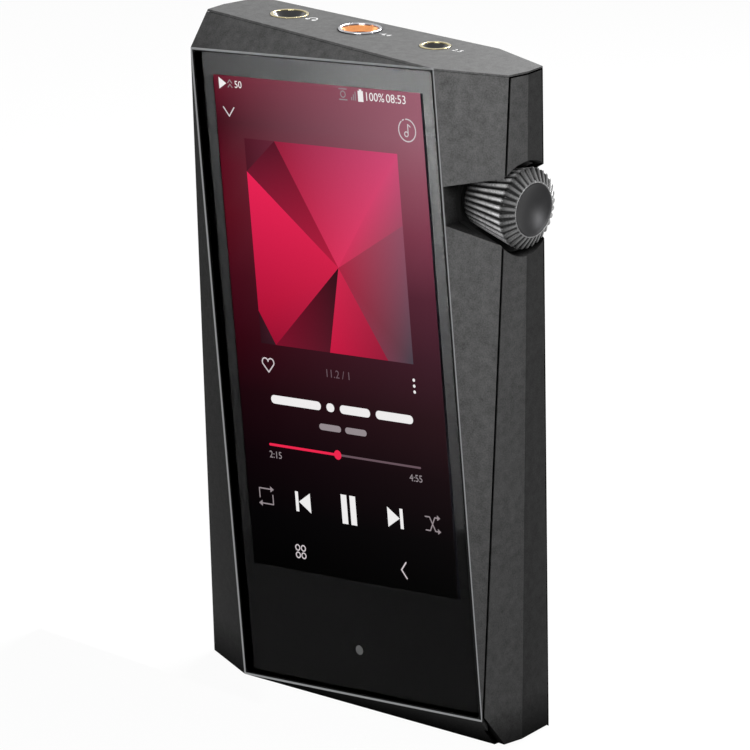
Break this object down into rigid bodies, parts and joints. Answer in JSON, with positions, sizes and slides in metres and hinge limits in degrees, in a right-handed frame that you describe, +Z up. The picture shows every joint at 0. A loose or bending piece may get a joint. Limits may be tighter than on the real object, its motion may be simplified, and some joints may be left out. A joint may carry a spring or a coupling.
{
  "type": "digital audio player",
  "caption": "Faceted pocket music player with a tilted glass screen, a fluted volume wheel that also presses, side buttons, headphone sockets on top and a USB-C socket below.",
  "frame": {"origin": "centre of the USB-C mouth, in the middle of the flat bottom face that the player stands on", "axes": "+Z up along the upright case, +X to the wheel's side (right as seen from the front), -Y out of the screen; the hinge axis of the wheel is +X"},
  "size_m": [0.0654, 0.0162, 0.1086],
  "materials": {
    "case_aluminium": "fine bead-blasted, dark grey anodised",
    "button_metal": "satin anodised",
    "rear_glass": "smooth black backed glass",
    "cover_glass": "polished clear",
    "black_print": "black print and adhesive",
    "adhesive": "soft adhesive film",
    "display": "smooth polariser film",
    "pressed_steel": "satin pressed sheet",
    "flex_film": "amber polyimide film",
    "magnesium": "cast and machined",
    "circuit_board": "solder resist",
    "chip_epoxy": "moulded epoxy",
    "thermal_silicone": "soft pad",
    "battery_pouch": "laminate foil pouch",
    "moulded_plastic": "moulded",
    "copper_gold": "polished plating",
    "collar_metal": "polished turned ring",
    "plunger_plastic": "moulded",
    "screw_steel": "blackened steel",
    "well_black": "black anodised",
    "light_diffuser": "milky moulded",
    "wheel_metal": "turned and anodised",
    "shaft_steel": "ground",
    "carrier_brass": "turned"
  },
  "bodies": {
    "root": {"antenna": "flex_film", "audio_board": "circuit_board", "audio_chips": "chip_epoxy", "backlight_tray": "pressed_steel", "battery": "battery_pouch", "battery_connector": "moulded_plastic", "board_screws": "screw_steel", "button_board": "circuit_board", "button_switches": "moulded_plastic", "card_reader": "pressed_steel", "cover_adhesive": "adhesive", "cover_glass": "cover_glass", "display_flex": "flex_film", "display_panel": "display", "frame_screws": "screw_steel", "glass_mask": "black_print", "housing": "case_aluminium", "lamp_board": "circuit_board", "lamps": "light_diffuser", "light_ring": "light_diffuser", "main_board": "circuit_board", "mid_frame": "magnesium", "power_switch": "moulded_plastic", "processor_chips": "chip_epoxy", "rear_cover": "rear_glass", "shield_cans": "pressed_steel", "side_rail_left": "case_aluminium", "side_rail_right_lower": "case_aluminium", "side_rail_right_upper": "case_aluminium", "socket_2_5_body": "moulded_plastic", "socket_2_5_collar": "collar_metal", "socket_2_5_sleeve": "moulded_plastic", "socket_3_5_body": "moulded_plastic", "socket_3_5_collar": "collar_metal", "socket_3_5_sleeve": "moulded_plastic", "socket_4_4_body": "moulded_plastic", "socket_4_4_collar": "collar_metal", "socket_4_4_sleeve": "copper_gold", "socket_terminals": "copper_gold", "thermal_pad": "thermal_silicone", "top_plate": "case_aluminium", "turn_sensor": "chip_epoxy", "usb_board": "circuit_board", "usb_flex": "flex_film", "usb_shell": "pressed_steel", "usb_tongue": "moulded_plastic", "wheel_board": "circuit_board", "wheel_well": "well_black"},
    "wheel_carrier": {"wheel_carrier": "carrier_brass", "power_plunger": "plunger_plastic"},
    "wheel": {"volume_wheel": "wheel_metal", "wheel_cap": "wheel_metal", "wheel_shaft": "shaft_steel", "shaft_clip": "shaft_steel", "shaft_magnet": "shaft_steel"},
    "button_previous": {"button_previous": "button_metal"},
    "button_play": {"button_play": "button_metal"},
    "button_next": {"button_next": "button_metal"},
    "card_slider": {"card_slider": "moulded_plastic"}
  },
  "joints": [
    {"name": "wheel_press", "type": "slide", "parent": "root", "child": "wheel_carrier", "axis": [-1, 0, 0], "range_m": [0, 0.0003], "stiffness_N_per_m": 8000, "springref_m": -0.00005},
    {"name": "wheel_turn", "type": "hinge", "parent": "wheel_carrier", "child": "wheel", "pos_m": [0.028, 0.00075, 0.08675], "axis": [1, 0, 0], "continuous": true},
    {"name": "button_previous_press", "type": "slide", "parent": "root", "child": "button_previous", "axis": [1, 0, 0], "range_m": [0, 0.00025], "stiffness_N_per_m": 6000, "springref_m": -0.00005},
    {"name": "button_play_press", "type": "slide", "parent": "root", "child": "button_play", "axis": [1, 0, 0], "range_m": [0, 0.00025], "stiffness_N_per_m": 6000, "springref_m": -0.00005},
    {"name": "button_next_press", "type": "slide", "parent": "root", "child": "button_next", "axis": [1, 0, 0], "range_m": [0, 0.00025], "stiffness_N_per_m": 6000, "springref_m": -0.00005},
    {"name": "card_slider_push", "type": "slide", "parent": "root", "child": "card_slider", "axis": [1, 0, 0], "range_m": [0, 0.0008], "stiffness_N_per_m": 400}
  ]
}
